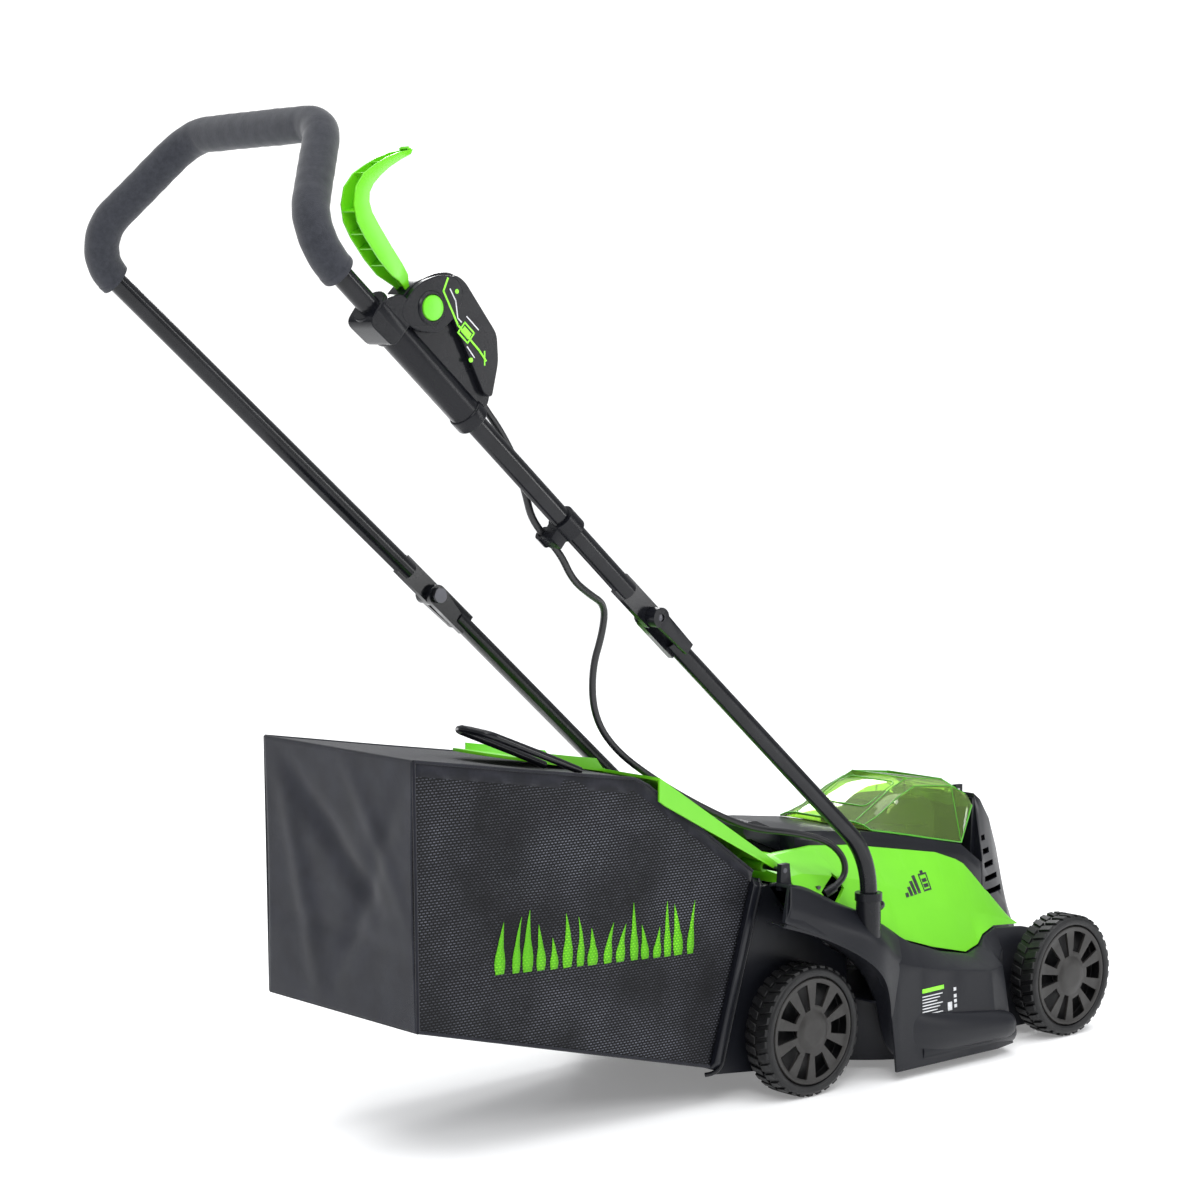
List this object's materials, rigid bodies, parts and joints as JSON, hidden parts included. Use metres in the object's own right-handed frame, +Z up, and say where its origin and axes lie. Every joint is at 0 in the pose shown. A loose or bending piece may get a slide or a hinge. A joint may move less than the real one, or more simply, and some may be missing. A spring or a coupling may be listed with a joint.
{
  "type": "push lawn mower",
  "caption": "Cordless push rotary mower with a folding tube handle, bail switch, clear battery lid, height lever and rear grass bag.",
  "frame": {"origin": "bottom centre of the whole machine's box, on the ground the wheels stand on", "axes": "+X forward, +Y to the left of a person pushing it, +Z up"},
  "size_m": [1.2551, 0.442, 1.0945],
  "materials": {
    "deck_black": "matte, fine moulded grain",
    "cover_green": "satin bright green moulding",
    "lid_green_clear": "clear green tint",
    "housing_black": "satin black moulding",
    "wheel_black": "matte with chunky tread",
    "hubcap_grey": "satin dark grey",
    "tube_black": "gloss black powder coat",
    "steel": "zinc plated",
    "blade_steel": "ground steel",
    "foam": "soft closed-cell foam",
    "switch_black": "satin black moulding",
    "button_green": "satin green",
    "bail_green": "satin bright green",
    "cable_black": "black sheath",
    "bag_mesh": "black open mesh",
    "bag_woven": "dark woven cloth",
    "battery_dark": "matte black",
    "key_red": "orange red",
    "board_green": "circuit board",
    "copper": "enamelled winding"
  },
  "bodies": {
    "chassis": {"deck_shell": "deck_black", "motor_cover": "cover_green", "battery_housing": "housing_black", "battery_pack": "battery_dark", "safety_key": "key_red", "controller_board": "board_green", "flap_rod": "steel", "flap_spring": "steel", "motor_can": "steel", "motor_stator": "copper", "axle_clamps": "deck_black", "lower_tube_left": "tube_black", "lower_tube_right": "tube_black", "handle_sockets": "switch_black", "body_screws": "steel", "power_cable": "cable_black", "strain_relief": "cable_black", "lid_pin": "steel", "fold_pins": "steel"},
    "lid": {"battery_lid": "lid_green_clear"},
    "flap": {"rear_flap": "cover_green"},
    "cutter": {"motor_armature": "steel", "blade_adapter": "switch_black", "blade": "blade_steel", "blade_bolt": "steel", "blade_washer": "steel"},
    "rear_axle": {"rear_axle_rod": "steel", "rear_wheel_nuts": "steel", "height_lever": "tube_black", "height_knob": "bail_green"},
    "front_axle": {"front_axle_rod": "steel", "front_wheel_nuts": "steel"},
    "link": {"link_rod": "steel"},
    "upper_handle": {"upper_tube": "tube_black", "foam_grip": "foam", "switch_box_outer": "switch_black", "switch_box_inner": "switch_black", "micro_switch": "battery_dark", "bail_pin": "steel", "bail_spring": "steel", "cable_clip": "switch_black"},
    "button": {"start_button": "button_green"},
    "bail": {"bail_lever": "bail_green"},
    "cam_right": {"cam_lever_right": "switch_black"},
    "cam_left": {"cam_lever_left": "switch_black"},
    "grass_bag": {"bag_frame": "housing_black", "bag_sides": "bag_mesh", "bag_top": "bag_woven", "bag_rear": "bag_woven", "bag_floor": "bag_woven", "bag_handle": "tube_black"},
    "front_right_wheel": {"wheel_front_right": "wheel_black", "hubcap_front_right": "hubcap_grey"},
    "front_left_wheel": {"wheel_front_left": "wheel_black", "hubcap_front_left": "hubcap_grey"},
    "rear_right_wheel": {"wheel_rear_right": "wheel_black", "hubcap_rear_right": "hubcap_grey"},
    "rear_left_wheel": {"wheel_rear_left": "wheel_black", "hubcap_rear_left": "hubcap_grey"}
  },
  "joints": [
    {"name": "blade_spin", "type": "hinge", "parent": "chassis", "child": "cutter", "pos_m": [0.33956, 0, 0.06], "axis": [0, 0, 1], "continuous": true},
    {"name": "height_adjust", "type": "hinge", "parent": "chassis", "child": "rear_axle", "pos_m": [0.12256, 0, 0.044], "axis": [0, -1, 0], "range_deg": [0, 65]},
    {"name": "front_crank", "type": "hinge", "parent": "chassis", "child": "front_axle", "pos_m": [0.57906, 0, 0.044], "axis": [0, -1, 0], "range_deg": [0, 65]},
    {"name": "link_pivot", "type": "hinge", "parent": "rear_axle", "child": "link", "pos_m": [0.16386, 0.134, 0.10298], "axis": [0, -1, 0], "range_deg": [-65, 0]},
    {"name": "handle_fold", "type": "hinge", "parent": "chassis", "child": "upper_handle", "pos_m": [-0.17136, 0, 0.569], "axis": [0, 1, 0], "range_deg": [0, 140], "deforming": ["power_cable"]},
    {"name": "bail_squeeze", "type": "hinge", "parent": "upper_handle", "child": "bail", "pos_m": [-0.497, -0.19969, 0.90953], "axis": [0.0164, -0.9998, -0.0141], "range_deg": [0, 6], "stiffness_Nm_per_rad": 1.2, "springref_deg": -17.19},
    {"name": "start_press", "type": "slide", "parent": "upper_handle", "child": "button", "axis": [-0.0164, 0.9998, 0.0141], "range_m": [0, 0.0024], "stiffness_N_per_m": 400, "springref_m": -0.002},
    {"name": "cam_right_turn", "type": "hinge", "parent": "chassis", "child": "cam_right", "pos_m": [-0.17136, -0.2, 0.569], "axis": [0, -1, 0], "range_deg": [0, 90]},
    {"name": "cam_left_turn", "type": "hinge", "parent": "chassis", "child": "cam_left", "pos_m": [-0.17136, 0.2, 0.569], "axis": [0, -1, 0], "range_deg": [0, 90]},
    {"name": "lid_open", "type": "hinge", "parent": "chassis", "child": "lid", "pos_m": [0.48256, 0, 0.3025], "axis": [0, -1, 0], "range_deg": [-75, 0]},
    {"name": "flap_open", "type": "hinge", "parent": "chassis", "child": "flap", "pos_m": [0.06656, 0, 0.2625], "axis": [0, 1, 0], "range_deg": [0, 55], "deforming": ["power_cable"]},
    {"name": "bag_remove", "type": "slide", "parent": "chassis", "child": "grass_bag", "axis": [-1, 0, 0], "range_m": [0, 0.25]},
    {"name": "front_right_roll", "type": "hinge", "parent": "front_axle", "child": "front_right_wheel", "pos_m": [0.54906, -0.159, 0.076], "axis": [0, 1, 0], "continuous": true},
    {"name": "front_left_roll", "type": "hinge", "parent": "front_axle", "child": "front_left_wheel", "pos_m": [0.54906, 0.159, 0.076], "axis": [0, 1, 0], "continuous": true},
    {"name": "rear_right_roll", "type": "hinge", "parent": "rear_axle", "child": "rear_right_wheel", "pos_m": [0.09256, -0.159, 0.076], "axis": [0, 1, 0], "continuous": true},
    {"name": "rear_left_roll", "type": "hinge", "parent": "rear_axle", "child": "rear_left_wheel", "pos_m": [0.09256, 0.159, 0.076], "axis": [0, 1, 0], "continuous": true}
  ],
  "couplings": [
    {"joint": "front_crank", "follows": "height_adjust", "ratio": 1},
    {"joint": "link_pivot", "follows": "height_adjust", "ratio": -1}
  ]
}
